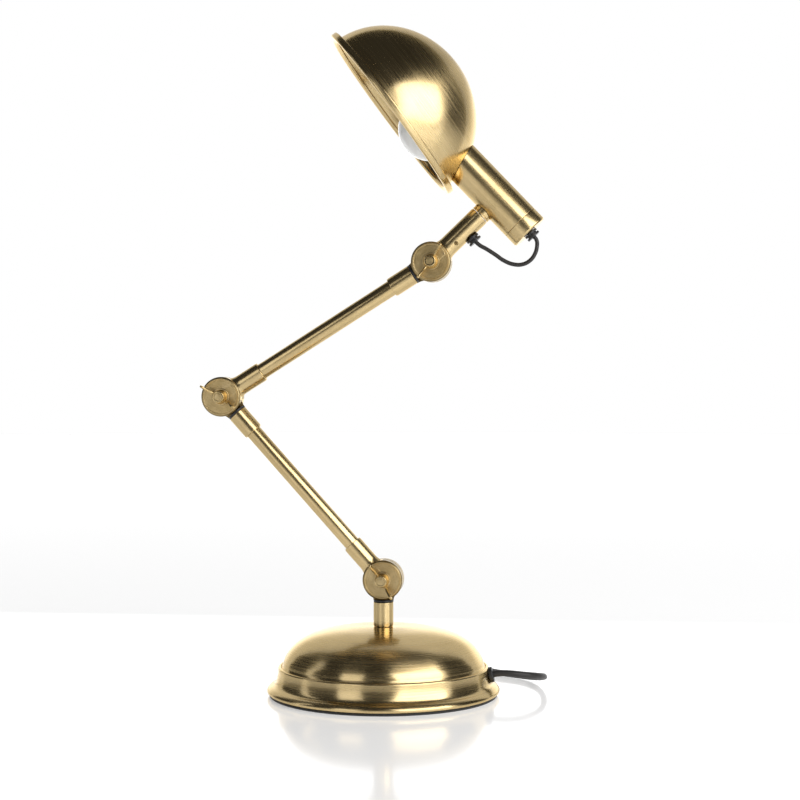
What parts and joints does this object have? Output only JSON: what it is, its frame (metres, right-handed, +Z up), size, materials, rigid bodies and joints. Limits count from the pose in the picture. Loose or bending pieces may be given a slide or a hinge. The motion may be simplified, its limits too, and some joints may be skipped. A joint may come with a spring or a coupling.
{
  "type": "swing arm desk lamp",
  "caption": "Desk lamp with a domed round base, folding arms on disc knuckles locked by wing nuts, and a deep domed shade on a lamp-holder barrel.",
  "frame": {"origin": "centre of the underside of the base pad", "axes": "+Z up; the arms move in the XZ plane with the elbow towards -X and the mains cord leaving towards +X; every hinge axis is along Y and the wing nuts face -Y"},
  "size_m": [0.2995, 0.3544, 0.5766],
  "materials": {
    "spun_brass": "spun, concentric satin brushing, lightly antiqued",
    "cast_brass": "cast and tumbled, satin, lightly antiqued",
    "brass_tube": "drawn tube, lengthwise satin brushing",
    "turned_brass": "turned and stamped, satin",
    "steel": "zinc plated",
    "plug_pin_metal": "nickel plated",
    "cast_iron": "black lacquered casting",
    "pad_rubber": "matt black",
    "tie_rubber": "matt black",
    "friction_fibre": "black vulcanised fibre",
    "gland_plastic": "black nylon",
    "holder_plastic": "black moulded",
    "switch_plastic": "black moulded",
    "plug_plastic": "black moulded",
    "flex_sheath": "black sheath, satin",
    "bulb_glass": "opal white glass, smooth"
  },
  "bodies": {
    "root": {"base_pad": "pad_rubber", "base_plate": "steel", "base_weight": "cast_iron", "base_cover": "spun_brass", "base_gland": "gland_plastic", "post_nipple": "steel", "nipple_washer": "steel", "nipple_nut": "steel", "post_knuckle_half": "cast_brass", "base_bolt": "turned_brass", "base_friction_washer": "friction_fibre", "base_nut_washer": "turned_brass", "base_ledge_bush": "gland_plastic", "cord_from_base": "flex_sheath", "switch_base": "switch_plastic", "switch_cover": "switch_plastic", "cord_to_coil": "flex_sheath", "cord_coil": "flex_sheath", "coil_tie": "tie_rubber", "cord_to_plug": "flex_sheath", "plug_body": "plug_plastic", "plug_pin_left": "plug_pin_metal", "plug_pin_right": "plug_pin_metal"},
    "lower_arm": {"lower_arm_lower_knuckle_half": "cast_brass", "lower_arm_upper_knuckle_half": "cast_brass", "lower_arm_tube": "brass_tube", "lower_arm_flex": "flex_sheath", "elbow_bolt": "turned_brass", "elbow_friction_washer": "friction_fibre", "elbow_nut_washer": "turned_brass", "elbow_ledge_bush": "gland_plastic"},
    "upper_arm": {"upper_arm_lower_knuckle_half": "cast_brass", "upper_arm_upper_knuckle_half": "cast_brass", "upper_arm_tube": "brass_tube", "upper_arm_flex": "flex_sheath", "head_bolt": "turned_brass", "head_friction_washer": "friction_fibre", "head_nut_washer": "turned_brass", "head_ledge_bush": "gland_plastic"},
    "head": {"head_stem": "cast_brass", "stem_grub_screw": "steel", "barrel_saddle": "cast_brass", "barrel_screw": "steel", "stem_gland": "gland_plastic", "stem_flex": "flex_sheath", "barrel": "brass_tube", "barrel_cap": "brass_tube", "cap_gland": "gland_plastic", "head_flex": "flex_sheath", "barrel_flex": "flex_sheath", "lamp_holder": "holder_plastic", "shade_ring": "holder_plastic", "shade": "spun_brass"},
    "bulb": {"bulb_glass": "bulb_glass", "bulb_cap": "steel"},
    "base_nut": {"base_wing_nut": "turned_brass"},
    "elbow_nut": {"elbow_wing_nut": "turned_brass"},
    "head_nut": {"head_wing_nut": "turned_brass"},
    "rocker": {"switch_rocker": "switch_plastic"}
  },
  "joints": [
    {"name": "base_knuckle", "type": "hinge", "parent": "root", "child": "lower_arm", "pos_m": [0, 0, 0.0999], "axis": [0, 1, 0], "range_deg": [-30, 70]},
    {"name": "elbow", "type": "hinge", "parent": "lower_arm", "child": "upper_arm", "pos_m": [-0.1413, 0, 0.25794], "axis": [0, -1, 0], "range_deg": [-25, 120]},
    {"name": "head_knuckle", "type": "hinge", "parent": "upper_arm", "child": "head", "pos_m": [0.04191, 0, 0.37422], "axis": [0, -1, 0], "range_deg": [-90, 80]},
    {"name": "base_wing_nut_turn", "type": "hinge", "parent": "root", "child": "base_nut", "pos_m": [0, 0, 0.0999], "axis": [0, -1, 0], "range_deg": [0, 270]},
    {"name": "elbow_wing_nut_turn", "type": "hinge", "parent": "lower_arm", "child": "elbow_nut", "pos_m": [-0.1413, 0, 0.25794], "axis": [0, -1, 0], "range_deg": [0, 270]},
    {"name": "head_wing_nut_turn", "type": "hinge", "parent": "upper_arm", "child": "head_nut", "pos_m": [0.04191, 0, 0.37422], "axis": [0, -1, 0], "range_deg": [0, 270]},
    {"name": "bulb_unscrew", "type": "hinge", "parent": "head", "child": "bulb", "pos_m": [0.0679, 0, 0.4601], "axis": [-0.6921, 0, 0.7218], "range_deg": [0, 360]},
    {"name": "switch_rocker_tip", "type": "hinge", "parent": "root", "child": "rocker", "pos_m": [0.036, 0.114, 0.0125], "axis": [0, 1, 0], "range_deg": [0, 14]}
  ]
}
